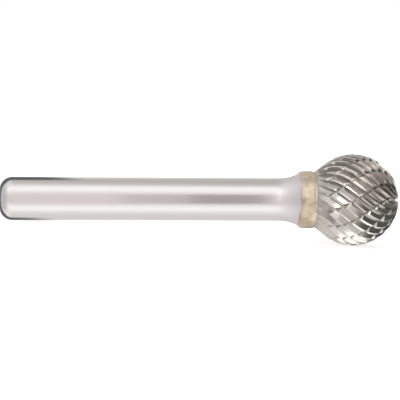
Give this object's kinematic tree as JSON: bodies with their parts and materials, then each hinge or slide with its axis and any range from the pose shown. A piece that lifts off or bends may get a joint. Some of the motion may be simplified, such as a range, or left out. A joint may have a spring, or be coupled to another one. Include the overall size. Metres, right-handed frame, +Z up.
{
  "type": "carbide burr",
  "caption": "Ball-ended rotary burr for a die grinder: a toothed carbide ball brazed to a round steel shank.",
  "frame": {"origin": "on the surface that the burr lies on, below the middle of its box", "axes": "+X from the shank's free end towards the ball, +Z up; the axis rises about 4 degrees towards the ball because the ball is thicker than the shank"},
  "size_m": [0.0558, 0.0128, 0.0128],
  "materials": {
    "shank_steel": "ground",
    "braze": "as brazed, slightly rough",
    "carbide": "bright ground teeth"
  },
  "bodies": {
    "root": {"shank": "shank_steel", "braze_joint": "braze", "cutting_head": "carbide"}
  },
  "joints": []
}
